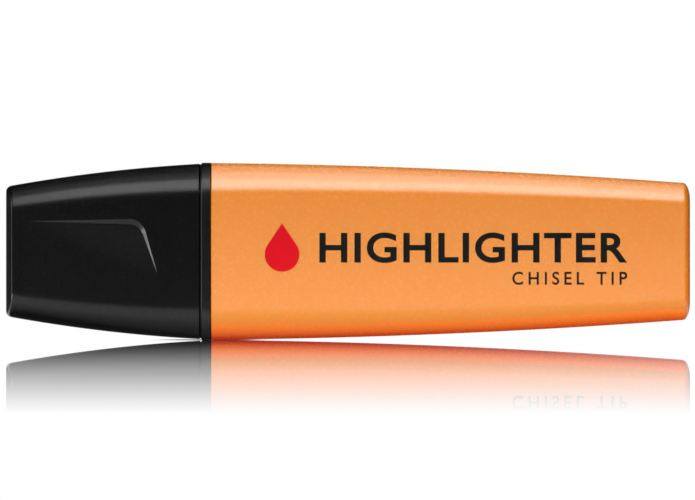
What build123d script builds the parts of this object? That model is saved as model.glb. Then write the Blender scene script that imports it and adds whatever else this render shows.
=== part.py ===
"""Capped chisel-tip highlighter: a flat tapered barrel, a pull-off cap and the ink system inside.

The pen lies along X, with the closed end of the cap at -X and the rear of the barrel at +X.
Its width stands upright along Z and its thickness lies along Y, as when it rests on a narrow side.
A station is a distance along the pen in millimetres, counted from the closed end of the cap.
"""

from build123d import *
from math import sqrt
import os

os.makedirs("parts", exist_ok=True)

# ---------------------------------------------------------------- overall size
overall_length = 105.0
collar_width = 27.2
collar_thickness = 17.0
collar_corner = 5.0
axis_height = collar_width / 2

# ---------------------------------------------------------------- stations along the pen
cap_mouth = 29.85
collar_front = 29.95
collar_back = 31.52
barrel_mouth = 31.62

# Each shell's half size at the collar and at its outer end, and how far its middle swells out.
cap_half_width = {"collar": 13.45, "end": 9.94, "swell": 0.475}
cap_half_thickness = {"collar": 8.4, "end": 6.5, "swell": 0.3}
cap_corner = {"collar": 5.0, "end": 3.9, "swell": 0.0}
barrel_half_width = {"collar": 13.56, "end": 10.44, "swell": 0.6}
barrel_half_thickness = {"collar": 8.46, "end": 7.0, "swell": 0.3}
barrel_corner = {"collar": 5.0, "end": 3.45, "swell": 0.0}

# ---------------------------------------------------------------- cap
cap_wall = 1.35
cap_end_crown = 1.05
cap_end_rounding = 0.5
cap_floor = 2.4
cap_bore_thickness = 14.0
cap_bore_width = 23.7
cap_bore_corner = 3.7
cap_bore_depth = 5.35
seal_socket_radius = 5.05
seal_socket_wall = 1.15
seal_socket_top = 5.0

# Sunk panel on each wide face: (station, height above the axis) of its three corners.
panel_tail = (3.0, 4.6)
panel_corner = (20.57, 4.15)
panel_foot = (23.85, -4.7)
panel_depth = 0.7
panel_corner_radius = 2.2
panel_wall_slope = 45.0

# ---------------------------------------------------------------- barrel
barrel_wall = 1.45
# The swell is made of straight stretches that meet in a faint ridge at these stations. Laid on a
# narrow side, the pen rests on its collar and on the first ridge, on either side of its centre of mass.
barrel_ridge_stations = (62.0, 84.0)
barrel_rear_rounding = 1.3
barrel_floor = 103.4
socket_thickness = 14.0
socket_width = 24.1
socket_corner = 3.7
socket_back = 38.6
rib_front = 45.0
rib_back = 100.0
rib_thickness = 1.0
rib_spacing = 6.4
rear_ring_front = 98.0
rear_ring_wall = 0.9
rear_stop_front = 101.05
rear_stop_size = 8.0

# ---------------------------------------------------------------- front section
spigot_front = 26.2
shoulder_front = 24.7
cap_clearance = 0.08
plug_back = 38.0
plug_clearance = 0.03
front_wall = 1.3
collar_chamfer = 0.3
nozzle_radius = 5.2
nozzle_tip_radius = 4.1
nozzle_tip = 14.5
nozzle_tip_rounding = 0.5
nozzle_cone_back = 18.9
guide_radius = 4.3
guide_back = 33.0
air_groove_width = 1.0
air_groove_depth = 0.5
cup_front = 31.5
cup_back = 37.0
cup_wall = 1.0
web_thickness = 1.0

# ---------------------------------------------------------------- nib
nib_tip = 9.0
nib_back = 42.0
nib_width = 5.0
nib_thickness = 3.5
nib_slant = 2.9
nib_edge_thickness = 1.4
nib_taper_length = 3.6
nib_rear_taper = 1.6
nib_clearance = 0.025

# ---------------------------------------------------------------- ink reservoir
reservoir_front = 33.5
reservoir_back = 101.0
reservoir_radius = 5.15
film_gap = 0.01
film_thickness = 0.1
film_inset = 0.2
reservoir_clearance = 0.06

# ---------------------------------------------------------------- inner seal of the cap
seal_closed_end = 2.45
seal_floor = 3.4
seal_wall = 0.7
seal_mouth = 24.5
seal_cone_front = 5.2
seal_cone_back = 12.0
seal_clearance = 0.06
seal_lead_in = 0.3


def across(station):
    """Plane square to the pen: its x is thickness (Y) and its y is width (Z)."""
    origin = (station - overall_length / 2, 0, axis_height)
    return Plane(origin=origin, x_dir=(0, 1, 0), z_dir=(1, 0, 0))


# Planes along the pen: x is the station, y is the height above the axis or the depth behind it.
side_view = Plane(origin=(-overall_length / 2, 0, axis_height), x_dir=(1, 0, 0), z_dir=(0, -1, 0))
top_view = Plane(origin=(-overall_length / 2, 0, axis_height), x_dir=(1, 0, 0), z_dir=(0, 0, 1))
pen_axis = Axis((0, 0, axis_height), (1, 0, 0))


def swelling(sizes, from_collar):
    """Size at a fraction of the way from the collar to the outer end, along a gentle parabola."""
    straight = sizes["collar"] + (sizes["end"] - sizes["collar"]) * from_collar
    return straight + 4 * sizes["swell"] * from_collar * (1 - from_collar)


def cap_section(station):
    """Thickness, width and corner radius of the cap's outside at a station."""
    from_collar = 1 - station / cap_mouth
    return (
        2 * swelling(cap_half_thickness, from_collar),
        2 * swelling(cap_half_width, from_collar),
        swelling(cap_corner, from_collar),
    )


def barrel_section(station):
    """Thickness, width and corner radius of the barrel's outside at a station."""
    from_collar = (station - barrel_mouth) / (overall_length - barrel_mouth)
    return (
        2 * swelling(barrel_half_thickness, from_collar),
        2 * swelling(barrel_half_width, from_collar),
        swelling(barrel_corner, from_collar),
    )


def evenly(first, last, count):
    """Evenly spaced stations from first to last."""
    return [first + (last - first) * i / (count - 1) for i in range(count)]


def loft_shell(stations, section_at, inset=0.0, ruled=False, mode=Mode.ADD):
    """Loft rounded rectangles that follow section_at, drawn in by a wall thickness."""
    sections = []
    for station in stations:
        thickness, width, corner = section_at(station)
        with BuildSketch(across(station)) as outline:
            RectangleRounded(thickness - 2 * inset, width - 2 * inset, corner - inset)
        sections.append(outline.sketch)
    loft(sections, ruled=ruled, mode=mode)


# ================================================================ cap
cap_end_half_thickness = cap_half_thickness["end"]
crown_radius = (cap_end_half_thickness**2 + cap_end_crown**2) / (2 * cap_end_crown)

with BuildPart() as cap:
    loft_shell(evenly(0, cap_mouth, 6), cap_section)

    # The closed end is a shallow cylinder that runs across the pen's width.
    with BuildSketch(top_view):
        with Locations((crown_radius, 0)):
            Circle(crown_radius)
        with Locations((crown_radius + cap_mouth / 2, 0)):
            Rectangle(cap_mouth, 2 * crown_radius)
    extrude(amount=collar_width, both=True, mode=Mode.INTERSECT)
    fillet(cap.faces().sort_by(Axis.X)[0].edges(), radius=cap_end_rounding)

    # Hollow, with a wider bore of constant section at the mouth.
    loft_shell(evenly(cap_floor, cap_mouth, 6), cap_section, inset=cap_wall, mode=Mode.SUBTRACT)
    with BuildSketch(across(cap_mouth)):
        RectangleRounded(cap_bore_thickness, cap_bore_width, cap_bore_corner)
    extrude(amount=-cap_bore_depth, mode=Mode.SUBTRACT)

    # Round socket on the floor that holds the inner seal.
    with BuildSketch(across(cap_floor - cap_wall / 4)):
        Circle(seal_socket_radius + seal_socket_wall)
        Circle(seal_socket_radius, mode=Mode.SUBTRACT)
    extrude(amount=seal_socket_top - cap_floor)

    # The sunk panel's floor starts level with the face along one side and is deepest at its corner.
    # The panel on the back is the front one turned half round the pen's axis.
    for facing in (1, -1):
        corners = []
        for (station, height), depth in ((panel_tail, 0), (panel_corner, panel_depth), (panel_foot, 0)):
            face_depth = cap_section(station)[0] / 2 - depth
            corners.append(
                Vector(
                    station - overall_length / 2,
                    -facing * face_depth,
                    axis_height + facing * height,
                )
            )
        tail, corner, foot = corners
        outward = (corner - tail).cross(foot - tail) * -1
        panel_floor = Plane(origin=tail, x_dir=foot - tail, z_dir=outward)
        corner_on_floor = panel_floor.to_local_coords(corner)
        foot_on_floor = panel_floor.to_local_coords(foot)
        beyond_tail = corner_on_floor * -0.25
        beyond_foot = foot_on_floor + (foot_on_floor - corner_on_floor) * 0.25
        with BuildSketch(panel_floor):
            with BuildLine():
                FilletPolyline(
                    (beyond_tail.X, beyond_tail.Y),
                    (corner_on_floor.X, corner_on_floor.Y),
                    (beyond_foot.X, beyond_foot.Y),
                    radius=panel_corner_radius,
                )
                Line((beyond_foot.X, beyond_foot.Y), (beyond_tail.X, beyond_tail.Y))
            make_face()
        extrude(amount=3 * panel_depth, taper=-panel_wall_slope, mode=Mode.SUBTRACT)

cap.part.label = "cap"

# ================================================================ inner seal of the cap
seal_bore = nozzle_radius + seal_clearance
seal_outside = seal_bore + seal_wall
seal_foot = seal_socket_radius - plug_clearance

with BuildPart() as cap_inner_seal:
    with BuildSketch(side_view):
        with BuildLine():
            Polyline(
                (seal_closed_end, 0),
                (seal_closed_end, seal_foot),
                (seal_cone_front, seal_foot),
                (seal_cone_back, seal_outside),
                (seal_mouth, seal_outside),
                (seal_mouth, seal_bore + seal_lead_in),
                (seal_mouth - seal_lead_in, seal_bore),
                (seal_cone_back, seal_bore),
                (seal_cone_front, seal_foot - seal_wall),
                (seal_floor, seal_foot - seal_wall),
                (seal_floor, 0),
                close=True,
            )
        make_face()
    revolve(axis=pen_axis)
cap_inner_seal.part.label = "cap_inner_seal"

# ================================================================ barrel
ring_bore = reservoir_radius + film_gap + film_thickness + reservoir_clearance
rib_inner_edge = rib_spacing / 2 - rib_thickness / 2
rib_tip = sqrt(ring_bore**2 - rib_inner_edge**2)

with BuildPart() as barrel:
    loft_shell((barrel_mouth, *barrel_ridge_stations, overall_length), barrel_section, ruled=True)
    fillet(barrel.faces().sort_by(Axis.X)[-1].edges(), radius=barrel_rear_rounding)

    loft_shell(
        (socket_back - 1, *barrel_ridge_stations, barrel_floor),
        barrel_section,
        inset=barrel_wall,
        ruled=True,
        mode=Mode.SUBTRACT,
    )
    with BuildSketch(across(barrel_mouth)):
        RectangleRounded(socket_thickness, socket_width, socket_corner)
    extrude(amount=socket_back - barrel_mouth, mode=Mode.SUBTRACT)

    # Two ribs along each wide wall keep the reservoir in the middle.
    front_mid_wall = (barrel_section(rib_front)[0] - barrel_wall) / 2
    back_mid_wall = (barrel_section(rib_back)[0] - barrel_wall) / 2
    for height in (-rib_spacing / 2, rib_spacing / 2):
        for side in (-1, 1):
            with BuildSketch(top_view.offset(height)):
                with BuildLine():
                    Polyline(
                        (rib_front, side * rib_tip),
                        (rib_front, side * front_mid_wall),
                        (rib_back, side * back_mid_wall),
                        (rib_back, side * rib_tip),
                        close=True,
                    )
                make_face()
            extrude(amount=rib_thickness / 2, both=True)

    # Ring and crossed stop that the reservoir's rear end sits in.
    with BuildSketch(across(rear_ring_front)):
        Circle(ring_bore + rear_ring_wall)
        Circle(ring_bore, mode=Mode.SUBTRACT)
    extrude(amount=barrel_floor - rear_ring_front + barrel_wall / 4)
    with BuildSketch(across(rear_stop_front)):
        Rectangle(rear_stop_size, rib_thickness)
        Rectangle(rib_thickness, rear_stop_size)
    extrude(amount=barrel_floor - rear_stop_front + barrel_wall / 4)
barrel.part.label = "barrel"

# ================================================================ front section
spigot_thickness = cap_bore_thickness - 2 * cap_clearance
spigot_width = cap_bore_width - 2 * cap_clearance
spigot_corner = cap_bore_corner - cap_clearance
plug_thickness = socket_thickness - 2 * plug_clearance
plug_width = socket_width - 2 * plug_clearance
plug_corner = socket_corner - plug_clearance
slot_thickness = nib_thickness + 2 * nib_clearance
slot_width = nib_width + 2 * nib_clearance

with BuildPart() as front_section:
    # Collar that shows between the cap and the barrel.
    with BuildSketch(across(collar_front)):
        RectangleRounded(collar_thickness, collar_width, collar_corner)
    extrude(amount=collar_back - collar_front)
    chamfer(front_section.faces().sort_by(Axis.X)[0].edges(), length=collar_chamfer)

    # Spigot that the cap sits on, with a sloping shoulder down to the nozzle.
    with BuildSketch(across(spigot_front)):
        RectangleRounded(spigot_thickness, spigot_width, spigot_corner)
    extrude(amount=collar_front - spigot_front)
    with BuildSketch(across(shoulder_front)) as shoulder_small_end:
        RectangleRounded(2 * nozzle_radius + 1, 3 * nozzle_radius, nozzle_radius)
    with BuildSketch(across(spigot_front)) as shoulder_large_end:
        RectangleRounded(spigot_thickness, spigot_width, spigot_corner)
    loft([shoulder_small_end.sketch, shoulder_large_end.sketch])

    # Plug that is pressed into the barrel's mouth.
    with BuildSketch(across(collar_back)):
        RectangleRounded(plug_thickness, plug_width, plug_corner)
    extrude(amount=plug_back - collar_back)

    # Hollow behind the front wall.
    with BuildSketch(across(plug_back)):
        RectangleRounded(
            spigot_thickness - 2 * front_wall,
            spigot_width - 2 * front_wall,
            spigot_corner - front_wall,
        )
    extrude(amount=spigot_front + front_wall - plug_back, mode=Mode.SUBTRACT)

    # Nozzle, with a rounded tip.
    with BuildSketch(side_view):
        with BuildLine():
            Polyline(
                (nozzle_tip, 0),
                (nozzle_tip, nozzle_tip_radius - nozzle_tip_rounding),
                (nozzle_tip + nozzle_tip_rounding, nozzle_tip_radius),
                (nozzle_cone_back, nozzle_radius),
                (spigot_front + front_wall / 2, nozzle_radius),
                (spigot_front + front_wall / 2, 0),
                close=True,
            )
        make_face()
    revolve(axis=pen_axis)

    # Tube that guides the nib, and the cup that holds the reservoir's front end.
    with BuildSketch(across(spigot_front + front_wall / 2)):
        Circle(guide_radius)
    extrude(amount=guide_back - spigot_front - front_wall / 2)
    with BuildSketch(across(cup_front)):
        Circle(ring_bore + cup_wall)
    extrude(amount=cup_back - cup_front)
    with BuildSketch(across(guide_back)):
        Circle(ring_bore)
    extrude(amount=cup_back - guide_back, mode=Mode.SUBTRACT)

    # Webs from the cup to the plug's narrow walls.
    web_inner = ring_bore + cup_wall / 2
    web_outer = (plug_width - front_wall) / 2
    for side in (-1, 1):
        with BuildSketch(across(cup_front)):
            with Locations((0, side * (web_inner + web_outer) / 2)):
                Rectangle(web_thickness, web_outer - web_inner)
        extrude(amount=cup_back - cup_front)

    # Slot for the nib, with an air groove beside each narrow edge of the nib.
    with BuildSketch(across(nozzle_tip)):
        Rectangle(slot_thickness, slot_width)
        Rectangle(air_groove_width, slot_width + 2 * air_groove_depth)
    extrude(amount=guide_back - nozzle_tip, mode=Mode.SUBTRACT)
front_section.part.label = "front_section"

# ================================================================ nib
half_nib = nib_width / 2
half_edge = nib_edge_thickness / 2
half_nib_thickness = nib_thickness / 2

with BuildPart() as nib:
    # Slanted writing edge, drawn square to the wide face.
    with BuildSketch(side_view):
        with BuildLine():
            Polyline(
                (nib_tip, half_nib),
                (nib_back - nib_rear_taper, half_nib),
                (nib_back, half_nib - nib_rear_taper),
                (nib_back, nib_rear_taper - half_nib),
                (nib_back - nib_rear_taper, -half_nib),
                (nib_tip + nib_slant, -half_nib),
                close=True,
            )
        make_face()
    extrude(amount=half_nib_thickness, both=True)

    # The writing end thins down to the edge.
    with BuildSketch(top_view):
        with BuildLine():
            Polyline(
                (nib_tip, half_edge),
                (nib_tip + nib_taper_length, half_nib_thickness),
                (nib_back, half_nib_thickness),
                (nib_back, -half_nib_thickness),
                (nib_tip + nib_taper_length, -half_nib_thickness),
                (nib_tip, -half_edge),
                close=True,
            )
        make_face()
    extrude(amount=nib_width, both=True, mode=Mode.INTERSECT)
nib.part.label = "nib"

# ================================================================ ink reservoir and its film
with BuildPart() as ink_reservoir:
    with BuildSketch(across(reservoir_front)):
        Circle(reservoir_radius)
    extrude(amount=reservoir_back - reservoir_front)
    with BuildSketch(across(reservoir_front)):
        Rectangle(slot_thickness, slot_width)
    extrude(amount=nib_back + nib_clearance - reservoir_front, mode=Mode.SUBTRACT)
ink_reservoir.part.label = "ink_reservoir"

with BuildPart() as reservoir_film:
    with BuildSketch(across(reservoir_front + film_inset)):
        Circle(reservoir_radius + film_gap + film_thickness)
        Circle(reservoir_radius + film_gap, mode=Mode.SUBTRACT)
    extrude(amount=reservoir_back - reservoir_front - 2 * film_inset)
reservoir_film.part.label = "reservoir_film"

# ================================================================ one file for each piece
for piece in (cap, cap_inner_seal, barrel, front_section, nib, ink_reservoir, reservoir_film):
    export_step(piece.part, f"parts/{piece.part.label}.step")
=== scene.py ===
"""Looks of the capped highlighter: shells, nib, print, materials, floor, light and camera.

Shapes are worked out in millimetres along and around the pen. A station is a distance along the
pen from the cap's closed end, a depth is a distance behind the pen's axis, towards +Y, and a height
is a distance above the axis, towards +Z. The function spot() turns the three into scene metres.
"""

from math import acos, atan, ceil, cos, pi, radians, sin, sqrt, tan

import bmesh
import bpy
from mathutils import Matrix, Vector
from mathutils.geometry import delaunay_2d_cdt


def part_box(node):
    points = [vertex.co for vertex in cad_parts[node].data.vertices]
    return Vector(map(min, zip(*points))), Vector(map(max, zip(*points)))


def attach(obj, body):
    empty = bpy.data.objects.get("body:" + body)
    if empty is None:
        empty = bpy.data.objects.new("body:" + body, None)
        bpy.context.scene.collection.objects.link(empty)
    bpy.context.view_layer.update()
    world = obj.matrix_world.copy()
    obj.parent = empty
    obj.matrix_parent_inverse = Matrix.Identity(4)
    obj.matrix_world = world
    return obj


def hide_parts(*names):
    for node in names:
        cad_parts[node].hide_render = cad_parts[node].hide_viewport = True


MM = 0.001

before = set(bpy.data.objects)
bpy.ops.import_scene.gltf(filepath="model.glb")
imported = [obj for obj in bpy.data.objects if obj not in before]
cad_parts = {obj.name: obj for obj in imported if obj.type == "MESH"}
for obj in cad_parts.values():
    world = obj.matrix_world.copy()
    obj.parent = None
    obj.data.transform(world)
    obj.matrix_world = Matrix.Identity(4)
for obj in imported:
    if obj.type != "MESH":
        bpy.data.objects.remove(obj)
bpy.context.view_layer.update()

# ---------------------------------------------------------------- places taken from the frame
cap_low, cap_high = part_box("cap")
barrel_low, barrel_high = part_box("barrel")
front_low, front_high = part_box("front_section")
nib_low, nib_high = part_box("nib")

closed_end_x = cap_low.x
axis_z = (front_low.z + front_high.z) / 2


def station_of(x):
    """Station of a scene X."""
    return (x - closed_end_x) / MM


def height_of(z):
    """Height of a scene Z."""
    return (z - axis_z) / MM


cap_mouth = station_of(cap_high.x)
barrel_mouth = station_of(barrel_low.x)
barrel_rear = station_of(barrel_high.x)

# Half sizes at the collar end and at the outer end of each shell, and how far its middle swells out.
cap_half_width = {"collar": height_of(cap_high.z), "end": 9.94, "swell": 0.475}
cap_half_thickness = {"collar": cap_high.y / MM, "end": 6.5, "swell": 0.3}
cap_corner = {"collar": 5.0, "end": 3.9, "swell": 0.0}
barrel_half_width = {"collar": height_of(barrel_high.z), "end": 10.44, "swell": 0.6}
barrel_half_thickness = {"collar": barrel_high.y / MM, "end": 7.0, "swell": 0.3}
barrel_corner = {"collar": 5.0, "end": 3.45, "swell": 0.0}

# ---------------------------------------------------------------- fineness of the meshes
arc_steps = 16
wide_steps = 14
narrow_steps = 6
side_margin = 0.02
rounding_steps = 10
end_face_scales = (0.15, 0.4, 0.65, 0.85, 0.97)

# ---------------------------------------------------------------- barrel
barrel_ring_spacing = 2.0
barrel_wall = 1.45
barrel_floor = 103.4
barrel_lip = 0.16
rear_blend_length = 1.0
rear_blend_inset = 2.4
rear_guard_rings = (0.2, 1.2)
barrel_hollow_spacing = 6.0
socket = (7.0, 12.05, 3.7)
socket_back = 38.6

# ---------------------------------------------------------------- cap
cap_ring_spacing = 1.0
cap_wall = 1.35
cap_floor = 2.4
cap_lip = 0.16
cap_crown = 1.05
cap_crown_radius = (cap_half_thickness["end"] ** 2 + cap_crown**2) / (2 * cap_crown)
cap_crown_reach = 8.0
cap_rounding = {"wide": 0.32, "narrow": 0.75}
cap_bore = (7.0, 11.85, 3.7)
cap_bore_back = 24.5
cap_hollow_spacing = 3.0
cap_front_rings = (0.0, 0.15, 0.6)
seal_socket = {"inner": 5.05, "outer": 6.2, "top": 5.0}

# Sunk panel on the cap's wide faces: (station, height) of its three corners.
panel_tail = Vector((3.0, 4.6))
panel_corner = Vector((20.57, 4.15))
panel_foot = Vector((23.85, -4.7))
panel_depth = 0.7
panel_corner_radius = 2.2
panel_wall_slope = radians(45)
panel_edge_softness = 0.07
panel_row_spacing = 0.25
panel_row_steps = (0.08, 0.18, 0.35)
panel_least_wall = 0.04
patch_grid = 0.8
patch_clear = 0.6 * patch_grid
patch_margin = 0.2

# ---------------------------------------------------------------- nib
nib_half_width = (nib_high.z - nib_low.z) / MM / 2
nib_half_thickness = nib_high.y / MM
nib_tip = station_of(nib_low.x)
nib_back = station_of(nib_high.x)
nib_slant = 2.9
nib_edge_thickness = 1.4
nib_taper_length = 3.6
nib_rear_taper = 1.6
nib_corner = 0.45
nib_corner_share = 0.6
nib_end_inset = 0.5
nib_rear_inset = 0.96
nib_rounding_steps = 4

# ---------------------------------------------------------------- print
print_thickness = 0.03
print_sunk = 0.012
drop_steps = 64
emblem = {"station": 42.5, "height": 0.6, "tall": 7.4, "radius": 2.65}
title = {"first": 48.2, "last": 95.3, "base": -1.75, "tall": 4.65, "bold": 0.022, "spacing": 1.1}
subtitle = {"first": 77.7, "last": 95.3, "base": -5.1, "tall": 2.0, "bold": 0.012, "spacing": 1.45}

# ---------------------------------------------------------------- camera
camera_distance = 1.35
camera_rise = 0.22 * MM
picture_width = 106.9 * MM
film_width = 36.0

# ---------------------------------------------------------------- floor, in metres from the pen's middle
floor_radius = 4.0
# The mirror polish fades out at this distance, following this power of the distance.
floor_polish_reach = 0.61
floor_polish_fade = 1.8
# Half length of the pen that distances from it are measured from.
floor_pen_reach = 0.05
# The floor's glow back to the pen is painted light, with painted shade beneath the pen: little beneath
# it, full further out, and little again far away.
floor_shade = (0.005, 0.012)
floor_lit_edge = (0.028, 0.050)
floor_bounce = 0.88
floor_ambient = 0.05
# A painted pool of light left of the cap: the floor glows there, where the light from the left would
# fall on it.
floor_left_ends = ((-0.064, -0.070), (-0.102, -0.092))
floor_left_sides = ((-0.034, -0.026), (-0.007, -0.011))
floor_left_painted_light = 9.0
# Painted contact shadow: the floor's mirror is darkened where the collar touches the floor.
floor_contact_shadow = (0.006, 0.010)
floor_contact_shadow_level = 0.05

# ---------------------------------------------------------------- light
studio_dim = 0.02
softbox_distance = 1.5
# Lights overhead, for highlights: elevation, height, radiance on the orange, radiance on the rest.
overhead = ((43, 1.10, 8.6, 3.2), (79, 0.75, 5.4, 0.6), (110, 0.80, 1.6, 0.1))


def spot(station, depth, height):
    """Scene position of a station, a depth and a height."""
    return Vector((closed_end_x + station * MM, depth * MM, axis_z + height * MM))


def swelling(sizes, from_collar):
    """Size at a fraction of the way from the collar to the outer end, along a gentle parabola."""
    straight = sizes["collar"] + (sizes["end"] - sizes["collar"]) * from_collar
    return straight + 4 * sizes["swell"] * from_collar * (1 - from_collar)


def cap_sizes(station):
    """Half thickness, half width and corner radius of the cap's outside."""
    from_collar = 1 - station / cap_mouth
    shapes = (cap_half_thickness, cap_half_width, cap_corner)
    return tuple(swelling(shape, from_collar) for shape in shapes)


def barrel_sizes(station):
    """Half thickness, half width and corner radius of the barrel's outside."""
    from_collar = (station - barrel_mouth) / (barrel_rear - barrel_mouth)
    shapes = (barrel_half_thickness, barrel_half_width, barrel_corner)
    return tuple(swelling(shape, from_collar) for shape in shapes)


def drawn_in(sizes, amount):
    """Sizes of a rounded rectangle that lies inside another by an even amount."""
    return tuple(max(size - amount, 0.2) for size in sizes)


def evenly(first, last, spacing):
    """Evenly spaced numbers from first to last, at most that far apart."""
    count = max(1, ceil(abs(last - first) / spacing))
    return [first + (last - first) * i / count for i in range(count + 1)]


# ================================================================ outlines and rings
ring_size = 4 * arc_steps + 2 * narrow_steps + 2 * wide_steps
front_face_start = 2 * arc_steps + narrow_steps
back_face_start = 4 * arc_steps + 2 * narrow_steps + wide_steps


def outline(sizes):
    """Points round a rounded rectangle, as (depth, height, direction faced), as many for any size.

    They start at the middle of the back's upper corner, go over the top, down the front, under the
    bottom and up the back. A straight side has a point close to each of its ends.
    """
    half_thickness, half_width, corner = sizes
    signs = ((1, 1), (-1, 1), (-1, -1), (1, -1))
    centres = [(a * (half_thickness - corner), b * (half_width - corner)) for a, b in signs]
    points = []
    for quarter in range(4):
        depth, height = centres[quarter]
        for step in range(arc_steps + 1):
            facing = (quarter + step / arc_steps) * pi / 2
            points.append((depth + corner * cos(facing), height + corner * sin(facing), facing))
        next_depth, next_height = centres[(quarter + 1) % 4]
        steps = wide_steps if quarter % 2 else narrow_steps
        inner = [i / (steps - 2) for i in range(1, steps - 2)]
        for share in (side_margin, *inner, 1 - side_margin):
            side_depth = depth + (next_depth - depth) * share + corner * cos(facing)
            side_height = height + (next_height - height) * share + corner * sin(facing)
            points.append((side_depth, side_height, facing))
    return points


def flat_ring(station, sizes, scale=1.0):
    """Ring of scene positions square across the pen."""
    return [spot(station, depth * scale, height * scale) for depth, height, _ in outline(sizes)]


def lip_rings(edge, radius, inward, sizes, steps=4):
    """Rings that round the outer edge of a shell's mouth. inward is +1 or -1 along the pen."""
    rings = []
    for step in range(steps + 1):
        turn = pi / 2 * step / steps
        station = edge + inward * radius * (1 - sin(turn))
        rings.append(flat_ring(station, drawn_in(sizes, radius * (1 - cos(turn)))))
    return rings


def skin(mesh, rings, left_open=()):
    """Join neighbouring rings with faces and close both ends. left_open names faces not to make."""
    loops = [[mesh.verts.new(point) for point in ring] for ring in rings]
    for row, (these, those) in enumerate(zip(loops, loops[1:])):
        count = len(these)
        for i in range(count):
            if (row, i) not in left_open:
                j = (i + 1) % count
                mesh.faces.new((these[i], these[j], those[j], those[i]))
    for loop in (loops[0], loops[-1]):
        middle = mesh.verts.new(sum((v.co for v in loop), Vector()) / len(loop))
        for i, vertex in enumerate(loop):
            mesh.faces.new((vertex, loop[(i + 1) % len(loop)], middle))


def turned(mesh, profile, steps=64):
    """Closed ring turned about the pen's axis from a closed profile of (station, radius)."""
    loops = []
    for step in range(steps):
        angle = 2 * pi * step / steps
        loops.append([mesh.verts.new(spot(s, r * cos(angle), r * sin(angle))) for s, r in profile])
    for these, those in zip(loops, loops[1:] + loops[:1]):
        for i in range(len(profile)):
            j = (i + 1) % len(profile)
            mesh.faces.new((these[i], these[j], those[j], those[i]))


def finished(name, mesh, body, material, sharp=35):
    """Turn a bmesh into a smooth-shaded piece that rides on a body."""
    bmesh.ops.remove_doubles(mesh, verts=mesh.verts, dist=0.0005 * MM)
    bmesh.ops.recalc_face_normals(mesh, faces=mesh.faces)
    data = bpy.data.meshes.new(name)
    mesh.to_mesh(data)
    mesh.free()
    data.shade_smooth()
    data.set_sharp_from_angle(angle=radians(sharp))
    data.materials.append(material)
    piece = bpy.data.objects.new(name, data)
    bpy.context.scene.collection.objects.link(piece)
    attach(piece, body)
    return piece


# ================================================================ barrel
def rear_ring(turn):
    """Ring round the barrel's rear rim: at turn 0 it meets the sides, at a quarter turn the end."""
    station = barrel_rear - rear_blend_length * (1 - sin(turn))
    inset = rear_blend_inset * (1 - cos(turn))
    return [
        spot(station, depth - inset * cos(facing), height - inset * sin(facing))
        for depth, height, facing in outline(barrel_sizes(station))
    ]


def make_barrel(material):
    """Barrel shell: closed rear end, tapered outside, rounded mouth, socket and hollow."""
    end_sizes = drawn_in(barrel_sizes(barrel_rear), rear_blend_inset)
    rings = [flat_ring(barrel_rear, end_sizes, scale) for scale in end_face_scales]
    rings += [rear_ring(pi / 2 * step / rounding_steps) for step in range(rounding_steps, -1, -1)]
    blend_front = barrel_rear - rear_blend_length
    near, far = rear_guard_rings
    outside = evenly(blend_front - far, barrel_mouth + 2 * barrel_lip, barrel_ring_spacing)
    for station in (blend_front - near, *outside):
        rings.append(flat_ring(station, barrel_sizes(station)))
    rings += lip_rings(barrel_mouth, barrel_lip, 1, barrel_sizes(barrel_mouth))
    rings.append(flat_ring(barrel_mouth, socket))
    rings.append(flat_ring(socket_back, socket))
    for station in evenly(socket_back, barrel_floor, barrel_hollow_spacing):
        rings.append(flat_ring(station, drawn_in(barrel_sizes(station), barrel_wall)))
    floor_sizes = drawn_in(barrel_sizes(barrel_floor), barrel_wall)
    rings.append(flat_ring(barrel_floor, floor_sizes, 0.5))
    mesh = bmesh.new()
    skin(mesh, rings)
    piece = finished("barrel_shell", mesh, "pen", material)
    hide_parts("barrel")


# ================================================================ cap
def crown_at(depth):
    """How far the crowned closed end has curved back at a depth."""
    return cap_crown_radius - sqrt(cap_crown_radius**2 - depth**2)


def crown_slope_at(depth):
    """Slope of the crowned closed end at a depth."""
    return abs(depth) / sqrt(cap_crown_radius**2 - depth**2)


def rim_point(index, share):
    """Point of the closed end's rim: (station, depth, height). Share 0 meets the sides, 1 the end."""
    depth, height, facing = outline(cap_sizes(cap_crown / 2))[index]
    spread = cap_rounding["narrow"] - cap_rounding["wide"]
    radius = cap_rounding["wide"] + spread * sin(facing) ** 2
    last_turn = pi / 2 - atan(crown_slope_at(depth) * abs(cos(facing)))
    turn = last_turn * share
    end_depth = depth - radius * (1 - cos(last_turn)) * cos(facing)
    station = crown_at(end_depth) + radius * (sin(last_turn) - sin(turn))
    depth, height, facing = outline(cap_sizes(station))[index]
    inset = radius * (1 - cos(turn))
    return station, depth - inset * cos(facing), height - inset * sin(facing)


def cap_outside_ring(nominal):
    """Ring round the cap's outside. Near the closed end it bends to follow the rim."""
    fade = max(0.0, 1 - nominal / cap_crown_reach) ** 2
    if fade == 0:
        return flat_ring(nominal, cap_sizes(nominal))
    points = []
    for index in range(ring_size):
        station = nominal + rim_point(index, 0)[0] * fade
        depth, height, _ = outline(cap_sizes(station))[index]
        points.append(spot(station, depth, height))
    return points


def smooth_max(a, b, softness=panel_edge_softness):
    """Larger of two lengths, with the change from one to the other rounded off."""
    return (a + b + sqrt((a - b) ** 2 + softness**2)) / 2


def outward(start, end):
    """Unit vector to the left of the way from start to end."""
    along = (end - start).normalized()
    return Vector((-along.y, along.x))


upper_out = outward(panel_tail, panel_corner)
side_out = outward(panel_corner, panel_foot)
floor_rise = -outward(panel_tail, panel_foot)
if floor_rise.dot(panel_corner - panel_tail) < 0:
    floor_rise = -floor_rise
corner_centre = panel_corner - (upper_out + side_out) * (
    panel_corner_radius / (1 + upper_out.dot(side_out))
)
floor_grade = panel_depth / floor_rise.dot(panel_corner - panel_tail)


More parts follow.
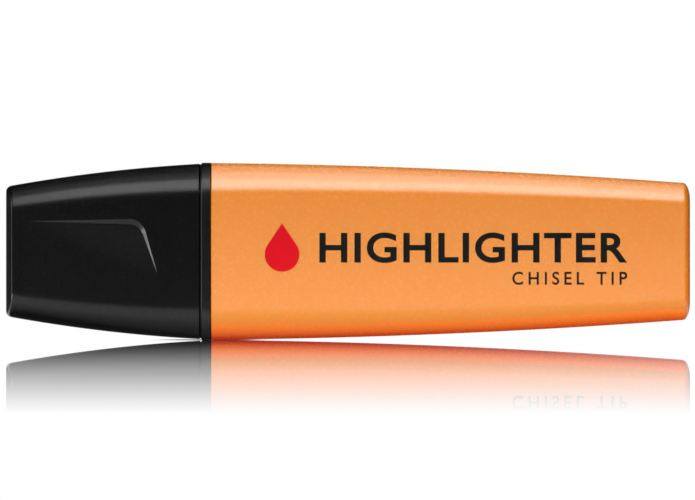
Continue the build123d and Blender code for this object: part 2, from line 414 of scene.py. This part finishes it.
def panel_distance(point):
    """Distance outside the foot of the panel's wall, negative inside the panel."""
    from_centre = point - corner_centre
    past_upper = upper_out.x * from_centre.y - upper_out.y * from_centre.x <= 0
    before_side = from_centre.x * side_out.y - from_centre.y * side_out.x <= 0
    if past_upper and before_side:
        return from_centre.length - panel_corner_radius
    return max((point - panel_corner).dot(upper_out), (point - panel_corner).dot(side_out))


def panel_depth_at(point):
    """How far the sunk panel lies below the wide face at (station, height)."""
    floor = floor_grade * floor_rise.dot(point - panel_tail)
    climb = smooth_max(0.0, panel_distance(point)) * tan(panel_wall_slope)
    return smooth_max(0.0, floor - climb)


def panel_wall_foot():
    """Points along the foot of the panel's wall, each with the direction out of the panel."""
    upper_end = corner_centre + upper_out * panel_corner_radius
    side_start = corner_centre + side_out * panel_corner_radius
    points = []
    count = ceil((upper_end - panel_tail).length / panel_row_spacing)
    points += [(panel_tail.lerp(upper_end, i / count), upper_out) for i in range(1, count)]
    turn = acos(upper_out.dot(side_out))
    count = ceil(turn * panel_corner_radius / panel_row_spacing)
    for i in range(count + 1):
        angle = -turn * i / count
        x = upper_out.x * cos(angle) - upper_out.y * sin(angle)
        y = upper_out.x * sin(angle) + upper_out.y * cos(angle)
        points.append((corner_centre + Vector((x, y)) * panel_corner_radius, Vector((x, y))))
    count = ceil((panel_foot - side_start).length / panel_row_spacing)
    points += [(side_start.lerp(panel_foot, i / count), side_out) for i in range(1, count)]
    return points


def panel_rows():
    """Rows of points along the panel's wall, from inside its foot to outside its upper edge."""
    rows = []
    for foot, out in panel_wall_foot():
        floor = floor_grade * floor_rise.dot(foot - panel_tail)
        width = floor / (tan(panel_wall_slope) - floor_grade * floor_rise.dot(out))
        if width < panel_least_wall:
            continue
        near = min(panel_row_steps[0], width / 4)
        offsets = [-step for step in reversed(panel_row_steps)]
        offsets += [0, near, width / 2, width - near, width]
        offsets += [width + step for step in panel_row_steps]
        rows.append([foot + out * offset for offset in offsets])
    return list(zip(*rows))


def face_patch(mesh, rings, start, side):
    """One wide face of the cap with its sunk panel. side is 1 on the front and -1 on the back.

    It fills the opening that the rings leave between points start and start + wide_steps. The back
    is the front turned half round the pen's axis.
    """

    def flat(point):
        return Vector((station_of(point.x), side * height_of(point.z)))

    columns = [[flat(ring[(start + i) % ring_size]) for i in range(wide_steps + 1)] for ring in rings]
    edge = columns[0] + [column[-1] for column in columns[1:]]
    edge += columns[-1][-2::-1] + [column[0] for column in columns[-2:0:-1]]
    points = list(edge)
    lines = []
    for row in panel_rows():
        first = len(points)
        points += row
        lines += [(i, i + 1) for i in range(first, len(points) - 1)]
    inset = Vector((patch_margin, 0))
    points += [point + inset for point in columns[0][1:-1]]
    points += [point - inset for point in columns[-1][1:-1]]
    for column in columns[1:-1]:
        points += [column[0] - Vector((0, patch_margin)), column[-1] + Vector((0, patch_margin))]
    wall_zone = panel_row_steps[-1] + patch_clear
    first_station = columns[0][0].x + patch_clear + patch_margin
    for station in evenly(first_station, columns[-1][0].x - patch_clear, patch_grid):
        reach = cap_sizes(station)[1] - cap_sizes(station)[2] - patch_clear - patch_margin
        for height in evenly(-reach, reach, patch_grid):
            point = Vector((station, height))
            if not -wall_zone < panel_distance(point) < wall_zone + panel_depth:
                points.append(point)
            elif floor_rise.dot(point - panel_tail) < 0:
                points.append(point)
    loop = list(range(len(edge)))
    verts, _, faces, origins, _, _ = delaunay_2d_cdt(points, lines, [loop], 1, 1e-5)
    made = []
    for vertex, origin in zip(verts, origins):
        on_edge = any(i < len(edge) for i in origin)
        station, height = edge[min(origin)] if on_edge else vertex
        below = 0.0 if on_edge else panel_depth_at(vertex)
        depth = below - cap_sizes(station)[0]
        made.append(mesh.verts.new(spot(station, side * depth, side * height)))
    for face in faces:
        mesh.faces.new([made[i] for i in face])


def make_cap(material):
    """Cap shell: crowned closed end, sunk panels, rounded mouth, bore and hollow."""
    rim = [rim_point(index, 1) for index in range(ring_size)]
    rings = []
    for scale in end_face_scales:
        rings.append([spot(crown_at(depth * scale), depth * scale, h * scale) for _, depth, h in rim])
    for step in range(rounding_steps, 0, -1):
        rings.append([spot(*rim_point(index, step / rounding_steps)) for index in range(ring_size)])
    outside_start = len(rings)
    *first_stations, evenly_from = cap_front_rings
    last_station = cap_mouth - 2 * cap_lip
    stations = (*first_stations, *evenly(evenly_from, last_station, cap_ring_spacing))
    outside = [cap_outside_ring(nominal) for nominal in stations]
    rings += outside
    rings += lip_rings(cap_mouth, cap_lip, -1, cap_sizes(cap_mouth))
    rings.append(flat_ring(cap_mouth, cap_bore))
    rings.append(flat_ring(cap_bore_back, cap_bore))
    for station in evenly(cap_bore_back, cap_floor, cap_hollow_spacing):
        rings.append(flat_ring(station, drawn_in(cap_sizes(station), cap_wall)))
    rings.append(flat_ring(cap_floor, drawn_in(cap_sizes(cap_floor), cap_wall), 0.5))
    open_faces = {
        (outside_start + row, (start + i) % ring_size)
        for row in range(len(outside) - 1)
        for start in (front_face_start, back_face_start)
        for i in range(wide_steps)
    }
    mesh = bmesh.new()
    skin(mesh, rings, open_faces)
    face_patch(mesh, outside, front_face_start, 1)
    face_patch(mesh, outside, back_face_start, -1)
    front, back = cap_floor - cap_wall / 4, seal_socket["top"]
    inner, outer = seal_socket["inner"], seal_socket["outer"]
    turned(mesh, ((front, inner), (front, outer), (back, outer), (back, inner)))
    piece = finished("cap_shell", mesh, "cap", material)
    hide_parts("cap")


# ================================================================ nib
def nib_ring(from_tip, inset):
    """Ring round the nib. Its writing end slants: the upper corner reaches furthest forward."""
    taper = min(1.0, from_tip / nib_taper_length)
    half_edge = nib_edge_thickness / 2
    half_thickness = half_edge + (nib_half_thickness - half_edge) * taper
    corner = min(nib_corner, half_thickness * nib_corner_share)
    sizes = drawn_in((half_thickness, nib_half_width, corner), inset)
    slant = nib_slant * max(0.0, 1 - from_tip / (2 * nib_taper_length)) / (2 * nib_half_width)
    return [
        spot(nib_tip + from_tip + slant * (nib_half_width - height), depth, height)
        for depth, height, _ in outline(sizes)
    ]


def make_nib(material):
    """Chisel nib of bonded fibre, with softened edges."""
    rounding = nib_corner * nib_corner_share
    rings = [nib_ring(0, nib_end_inset)]
    for step in range(nib_rounding_steps + 1):
        turn = pi / 2 * (1 - step / nib_rounding_steps)
        rings.append(nib_ring(rounding * (1 - sin(turn)), rounding * (1 - cos(turn))))
    body_back = nib_back - nib_tip - nib_rear_taper
    rings += [nib_ring(station, 0) for station in evenly(0.6, nib_taper_length, 0.5)]
    rings += [nib_ring(station, 0) for station in evenly(nib_taper_length + 0.3, body_back, 2.0)]
    rings.append(nib_ring(nib_back - nib_tip, nib_rear_inset))
    mesh = bmesh.new()
    skin(mesh, rings)
    piece = finished("nib_felt_body", mesh, "pen", material, sharp=50)
    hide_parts("nib")


# ================================================================ print on the barrel
def laid_on_barrel(data, side):
    """Lay a flat print, drawn as (station, height, thickness), on one wide face of the barrel."""
    for vertex in data.vertices:
        station, height, lift = vertex.co
        surface = barrel_sizes(station)[0] + lift
        vertex.co = spot(station, -side * surface, side * height)


def print_piece(name, data, material, side):
    """Finish one print as a piece on the pen."""
    mesh = bmesh.new()
    mesh.from_mesh(data)
    bmesh.ops.remove_doubles(mesh, verts=mesh.verts, dist=0.0005)
    bmesh.ops.recalc_face_normals(mesh, faces=mesh.faces)
    mesh.to_mesh(data)
    mesh.free()
    laid_on_barrel(data, side)
    data.materials.clear()
    data.materials.append(material)
    piece = bpy.data.objects.new(name, data)
    bpy.context.scene.collection.objects.link(piece)
    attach(piece, "pen")


def lettering(name, words, place, material, side):
    """Plain bold capitals, fitted between two stations, raised by the thickness of the ink."""
    curve = bpy.data.curves.new(name, "FONT")
    curve.body = words
    curve.size = 1.0
    curve.offset = place["bold"]
    curve.space_character = place["spacing"]
    curve.resolution_u = 8
    curve.extrude = 0.5
    writer = bpy.data.objects.new(name + "_outline", curve)
    bpy.context.scene.collection.objects.link(writer)
    bpy.context.view_layer.update()
    drawn = writer.evaluated_get(bpy.context.evaluated_depsgraph_get())
    data = bpy.data.meshes.new_from_object(drawn)
    bpy.data.objects.remove(writer)
    bpy.data.curves.remove(curve)
    left = min(v.co.x for v in data.vertices)
    right = max(v.co.x for v in data.vertices)
    bottom = min(v.co.y for v in data.vertices)
    top = max(v.co.y for v in data.vertices)
    width = place["last"] - place["first"]
    for vertex in data.vertices:
        vertex.co.x = place["first"] + (vertex.co.x - left) / (right - left) * width
        vertex.co.y = place["base"] + (vertex.co.y - bottom) / (top - bottom) * place["tall"]
        vertex.co.z = print_thickness * (vertex.co.z + 0.5) - print_sunk
    print_piece(name, data, material, side)


def ink_drop(name, material, side):
    """Solid ink drop: a round bottom drawn up to a point."""
    radius, reach = emblem["radius"], emblem["tall"] - emblem["radius"]
    low = emblem["height"] - emblem["tall"] / 2 + radius
    shoulder = acos(radius / reach)
    first, last = pi / 2 + shoulder, pi / 2 - shoulder + 2 * pi
    rim = [(0.0, reach)]
    for i in range(drop_steps + 1):
        angle = first + (last - first) * i / drop_steps
        rim.append((radius * cos(angle), radius * sin(angle)))
    mesh = bmesh.new()
    levels = []
    for lift in (-print_sunk, print_thickness - print_sunk):
        levels.append([mesh.verts.new((emblem["station"] + x, low + y, lift)) for x, y in rim])
    for level in levels:
        mesh.faces.new(level)
    for i in range(len(rim)):
        j = (i + 1) % len(rim)
        mesh.faces.new((levels[0][i], levels[0][j], levels[1][j], levels[1][i]))
    data = bpy.data.meshes.new(name)
    mesh.to_mesh(data)
    mesh.free()
    print_piece(name, data, material, side)


# ================================================================ materials
def new_material(name):
    """Empty node material, with its Principled shader and a function that adds nodes."""
    material = bpy.data.materials.new(name)
    material.use_nodes = True
    nodes, links = material.node_tree.nodes, material.node_tree.links
    shader = nodes["Principled BSDF"]

    def add(kind, inputs=None, **settings):
        node = nodes.new(kind)
        for key, value in settings.items():
            setattr(node, key, value)
        for key, value in (inputs or {}).items():
            if isinstance(value, bpy.types.NodeSocket):
                links.new(value, node.inputs[key])
            else:
                node.inputs[key].default_value = value
        return node

    return material, shader, add, links


def noise(add, place, scale, detail=2.0, roughness=0.5):
    """Fine noise over the object's own coordinates, in features per metre."""
    inputs = {"Vector": place, "Scale": scale, "Detail": detail, "Roughness": roughness}
    return add("ShaderNodeTexNoise", inputs).outputs["Fac"]


def spread(add, value, low, high):
    """Stretch a 0 to 1 value between two numbers."""
    inputs = {"Value": value, "From Min": 0.3, "From Max": 0.7, "To Min": low, "To Max": high}
    return add("ShaderNodeMapRange", inputs).outputs["Result"]


def blended(add, share, first, second):
    """Colour between two, by a 0 to 1 share."""
    node = add("ShaderNodeMix", {0: share}, data_type="RGBA")
    node.inputs[6].default_value = (*first, 1)
    node.inputs[7].default_value = (*second, 1)
    return node.outputs[2]


def moulded_plastic(name, colours, gloss, grain, mottle=900.0, level=0.5, bleed=0.0):
    """Moulded plastic: slight mottle in colour, uneven gloss, and a fine grain or ripple as bump.

    gloss is (lowest, highest) roughness, grain is (features per metre, strength, height in metres),
    and bleed is the share of the light that spreads inside the plastic, the red furthest.
    """
    material, shader, add, links = new_material(name)
    place = add("ShaderNodeTexCoord").outputs["Object"]
    mottled = blended(add, noise(add, place, mottle, 3.0), *colours)
    links.new(mottled, shader.inputs["Base Color"])
    links.new(spread(add, noise(add, place, mottle * 2), *gloss), shader.inputs["Roughness"])
    scale, strength, height = grain
    inputs = {"Height": noise(add, place, scale, 2.0, 0.6), "Strength": strength, "Distance": height}
    links.new(add("ShaderNodeBump", inputs).outputs["Normal"], shader.inputs["Normal"])
    shader.inputs["Specular IOR Level"].default_value = level
    if bleed:
        shader.inputs["Subsurface Weight"].default_value = bleed
        shader.inputs["Subsurface Radius"].default_value = (1.0, 0.15, 0.03)
        shader.inputs["Subsurface Scale"].default_value = 2.5 * MM
    return material


def fibre(name, colours, stretch, roughness):
    """Bundled fibre: fine streaks along the pen, in colour and in bump, with a soft sheen."""
    material, shader, add, links = new_material(name)
    place = add("ShaderNodeTexCoord").outputs["Object"]
    mapped = add("ShaderNodeMapping", {"Vector": place, "Scale": stretch}).outputs["Vector"]
    streaks = noise(add, mapped, 1.0, 4.0, 0.7)
    links.new(blended(add, streaks, *colours), shader.inputs["Base Color"])
    shader.inputs["Roughness"].default_value = roughness
    inputs = {"Height": streaks, "Strength": 0.6, "Distance": 0.04 * MM}
    links.new(add("ShaderNodeBump", inputs).outputs["Normal"], shader.inputs["Normal"])
    shader.inputs["Sheen Weight"].default_value = 0.3
    return material


def clear_film(name):
    """Thin clear wrap: mostly see-through, with a glossy surface and faint milky streaks."""
    material, shader, add, links = new_material(name)
    place = add("ShaderNodeTexCoord").outputs["Object"]
    links.new(spread(add, noise(add, place, 400.0), 0.18, 0.34), shader.inputs["Alpha"])
    links.new(spread(add, noise(add, place, 1500.0), 0.12, 0.3), shader.inputs["Roughness"])
    shader.inputs["Base Color"].default_value = (0.9, 0.88, 0.84, 1)
    return material


# ================================================================ light
def softbox(name, place, size, radiance, receivers, share="all", colour=(1, 1, 1)):
    """Rectangular light that faces the middle of the pen, at a place (azimuth, elevation, distance).

    Azimuth 0 is on the camera's side. It lights only the receivers. Its share is "all", or "soft"
    for matte shading alone, or "shine" for highlights alone.
    """
    turn, rise, distance = radians(place[0]), radians(place[1]), place[2]
    away = Vector((sin(turn) * cos(rise), -cos(turn) * cos(rise), sin(rise)))
    light = bpy.data.lights.new(name, "AREA")
    light.shape = "RECTANGLE"
    light.size, light.size_y = size
    light.energy = radiance * pi * size[0] * size[1]
    light.color = colour
    lamp = bpy.data.objects.new(name, light)
    lamp.location = Vector((0, 0, axis_z)) + away * distance
    lamp.rotation_euler = away.to_track_quat("Z", "Y").to_euler()
    lamp.visible_camera = False
    lamp.visible_glossy = share != "soft"
    lamp.visible_diffuse = share != "shine"
    lamp.light_linking.receiver_collection = receivers
    bpy.context.scene.collection.objects.link(lamp)
    return lamp


def collected(name, pieces):
    """Collection of pieces, for the lights."""
    collection = bpy.data.collections.new(name)
    bpy.context.scene.collection.children.link(collection)
    for piece in pieces:
        collection.objects.link(piece)
    return collection


def make_lights(pieces):
    """Soft light from the front and the back, highlights from overhead, and low light from below.

    Only the pen shades them, so the lights below shine through the floor, like their own
    reflections in it. The orange barrel has highlights of its own, brighter than the rest.
    """
    whole_pen = collected("whole_pen", pieces)
    orange = collected("orange_pieces", [piece for piece in pieces if piece.name == "barrel_shell"])
    other = collected("other_pieces", [piece for piece in pieces if piece.name != "barrel_shell"])
    far = softbox_distance
    lamps = [
        softbox("front_key", (0, 36, far), (0.9, 1.15), 6.7, whole_pen, "soft"),
        softbox("rear_key", (180, 50, far), (0.9, 0.9), 4.0, whole_pen, "soft"),
    ]
    for rise, height, on_orange, on_other in overhead:
        place, size = (0, rise, far), (1.2, height)
        lamps.append(softbox(f"orange_shine_{rise}", place, size, on_orange, orange, "shine"))
        lamps.append(softbox(f"black_shine_{rise}", place, size, on_other, other, "shine"))
    red = (1.0, 0.05, 0.0)
    lamps += [
        softbox("left_panel", (-90, 10, 1.2), (0.6, 0.6), 3.0, other, "shine"),
        softbox("low_front", (0, -6, 0.16), (0.30, 0.022), 4.5, orange, "shine"),
        softbox("warm_below", (0, -78, 0.5), (0.6, 0.4), 2.8, orange, "soft", colour=red),
    ]
    for lamp in lamps:
        lamp.light_linking.blocker_collection = whole_pen


# ================================================================ floor, surroundings and camera
def polished_floor():
    """White floor, polished like a mirror by the pen and plain white further away.

    The camera sees the polish, with a painted contact shadow where the collar touches. What the floor
    sends back to the pen is painted light: plain white from near it, with painted shade beneath it
    and a painted bright patch to the left of the cap.
    """
    material = bpy.data.materials.new("white_floor")
    material.use_nodes = True
    nodes, links = material.node_tree.nodes, material.node_tree.links
    nodes.clear()

    def maths(operation, *values):
        node = nodes.new("ShaderNodeMath")
        node.operation = operation
        for socket_input, value in zip(node.inputs, values):
            if isinstance(value, bpy.types.NodeSocket):
                links.new(value, socket_input)
            else:
                socket_input.default_value = value
        return node.outputs[0]

    def ramp(value, start, end, first, last):
        node = nodes.new("ShaderNodeMapRange")
        links.new(value, node.inputs["Value"])
        for key, number in (("From Min", start), ("From Max", end), ("To Min", first), ("To Max", last)):
            node.inputs[key].default_value = number
        return node.outputs["Result"]

    def mixed(share, first, second):
        node = nodes.new("ShaderNodeMixShader")
        for socket_input, output in zip(node.inputs, (share, first, second)):
            links.new(output, socket_input)
        return node.outputs[0]

    place = nodes.new("ShaderNodeSeparateXYZ")
    links.new(nodes.new("ShaderNodeNewGeometry").outputs["Position"], place.inputs[0])
    from_middle = maths("ABSOLUTE", place.outputs[0])
    past_end = maths("MAXIMUM", maths("SUBTRACT", from_middle, floor_pen_reach), 0.0)
    across = maths("POWER", place.outputs[1], 2.0)
    away = maths("SQRT", maths("ADD", maths("POWER", past_end, 2.0), across))
    along = maths("SUBTRACT", place.outputs[0], closed_end_x + barrel_mouth * MM)
    from_collar = maths("SQRT", maths("ADD", maths("POWER", along, 2.0), across))
    white = maths("POWER", ramp(away, 0.0, floor_polish_reach, 0.0, 1.0), floor_polish_fade)
    gloss = nodes.new("ShaderNodeBsdfGlossy")
    # The mirror's colour carries a painted contact shadow, darkest at the collar.
    links.new(ramp(from_collar, *floor_contact_shadow, floor_contact_shadow_level, 1.0), gloss.inputs["Color"])
    gloss.inputs["Roughness"].default_value = 0.0
    glow = nodes.new("ShaderNodeEmission")
    bounce = nodes.new("ShaderNodeEmission")
    # Painted shade: the floor's glow back to the pen is dimmed beneath it and far away.
    shade_edge = ramp(away, *floor_shade, 0.0, 1.0)
    lit_edge = ramp(away, *floor_lit_edge, 1.0, 0.0)
    lit_share = maths("MULTIPLY", shade_edge, lit_edge)
    near_white = maths("MULTIPLY_ADD", lit_share, floor_bounce, floor_ambient)
    # Painted pool of light: the floor glows brighter in a patch left of the cap.
    left_ends = [ramp(place.outputs[0], *edge, 0.0, 1.0) for edge in floor_left_ends]
    left_sides = [ramp(place.outputs[1], *edge, 0.0, 1.0) for edge in floor_left_sides]
    painted_left_light = maths("MULTIPLY", maths("MULTIPLY", *left_ends), maths("MULTIPLY", *left_sides))
    links.new(maths("MULTIPLY_ADD", painted_left_light, floor_left_painted_light, near_white), bounce.inputs["Strength"])
    seen = mixed(white, gloss.outputs[0], glow.outputs[0])
    camera_ray = nodes.new("ShaderNodeLightPath").outputs["Is Camera Ray"]
    output = nodes.new("ShaderNodeOutputMaterial")
    links.new(mixed(camera_ray, bounce.outputs[0], seen), output.inputs[0])
    return material


def make_floor():
    """Large round floor that the pen stands on."""
    mesh = bmesh.new()
    bmesh.ops.create_circle(mesh, cap_ends=True, radius=floor_radius, segments=96)
    data = bpy.data.meshes.new("floor")
    mesh.to_mesh(data)
    mesh.free()
    data.materials.append(polished_floor())
    floor = bpy.data.objects.new("floor", data)
    bpy.context.scene.collection.objects.link(floor)


def make_surroundings(dim):
    """White all round for the camera and in the floor's mirror, and dim for what lights the pen."""
    world = bpy.data.worlds.new("studio")
    bpy.context.scene.world = world
    world.use_nodes = True
    nodes, links = world.node_tree.nodes, world.node_tree.links
    path = nodes.new("ShaderNodeLightPath")
    seen = nodes.new("ShaderNodeMath")
    seen.operation = "MAXIMUM"
    links.new(path.outputs["Is Camera Ray"], seen.inputs[0])
    links.new(path.outputs["Is Singular Ray"], seen.inputs[1])
    strength = nodes.new("ShaderNodeMapRange")
    strength.inputs["To Min"].default_value = dim
    links.new(seen.outputs[0], strength.inputs["Value"])
    background = nodes["Background"]
    background.inputs["Color"].default_value = (1, 1, 1, 1)
    links.new(strength.outputs["Result"], background.inputs["Strength"])


def make_camera():
    """Camera level with the pen, square to its wide face."""
    lens = bpy.data.cameras.new("camera")
    lens.sensor_width = film_width
    lens.lens = film_width * camera_distance / picture_width
    lens.clip_start = 0.01
    lens.clip_end = 20.0
    camera = bpy.data.objects.new("camera", lens)
    camera.location = (0, -camera_distance, axis_z + camera_rise)
    camera.rotation_euler = (pi / 2, 0, 0)
    bpy.context.scene.collection.objects.link(camera)
    bpy.context.scene.camera = camera


# ================================================================ putting it together
orange_plastic = moulded_plastic(
    "orange_plastic",
    colours=((0.90, 0.285, 0.022), (0.89, 0.275, 0.020)),
    gloss=(0.26, 0.28),
    grain=(1400.0, 0.06, 0.008 * MM),
    bleed=0.25,
)
cap_black = moulded_plastic(
    "grained_black_plastic",
    colours=((0.0025, 0.0025, 0.0027), (0.0055, 0.0055, 0.0056)),
    gloss=(0.22, 0.28),
    grain=(7500.0, 0.5, 0.015 * MM),
    mottle=5200.0,
    level=0.45,
)
smooth_black = moulded_plastic(
    "smooth_black_plastic",
    colours=((0.004, 0.004, 0.0042), (0.005, 0.005, 0.005)),
    gloss=(0.28, 0.36),
    grain=(2500.0, 0.2, 0.01 * MM),
)
seal_white = moulded_plastic(
    "seal_polyethylene",
    colours=((0.72, 0.72, 0.70), (0.66, 0.66, 0.64)),
    gloss=(0.38, 0.5),
    grain=(1800.0, 0.2, 0.02 * MM),
)
black_ink = moulded_plastic(
    "black_print",
    colours=((0.0035, 0.0035, 0.0035), (0.005, 0.005, 0.005)),
    gloss=(0.3, 0.4),
    grain=(4000.0, 0.2, 0.005 * MM),
)
red_ink = moulded_plastic(
    "red_print",
    colours=((0.78, 0.001, 0.010), (0.74, 0.001, 0.009)),
    gloss=(0.3, 0.4),
    grain=(4000.0, 0.2, 0.005 * MM),
    level=0.15,
)
felt = fibre(
    "nib_fibre",
    colours=((0.95, 0.30, 0.02), (0.75, 0.17, 0.01)),
    stretch=(1500.0, 9000.0, 9000.0),
    roughness=0.9,
)
wick = fibre(
    "reservoir_fibre",
    colours=((0.95, 0.40, 0.06), (0.8, 0.26, 0.03)),
    stretch=(300.0, 7000.0, 7000.0),
    roughness=0.85,
)
wrap = clear_film("reservoir_wrap")

make_barrel(orange_plastic)
make_cap(cap_black)
make_nib(felt)
for side, face in ((1, "front"), (-1, "back")):
    ink_drop(f"ink_drop_{face}", red_ink, side)
    lettering(f"title_{face}", "HIGHLIGHTER", title, black_ink, side)
    lettering(f"subtitle_{face}", "CHISEL TIP", subtitle, black_ink, side)

carried_over = {
    "front_section": smooth_black,
    "cap_inner_seal": seal_white,
    "ink_reservoir": wick,
    "reservoir_film": wrap,
}
for node, material in carried_over.items():
    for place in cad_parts[node].material_slots:
        place.material = material

pen_pieces = [piece for piece in bpy.context.scene.collection.all_objects if piece.type == "MESH"]
make_floor()
make_surroundings(studio_dim)
make_lights(pen_pieces)
make_camera()

bpy.context.scene.view_settings.view_transform = "Standard"
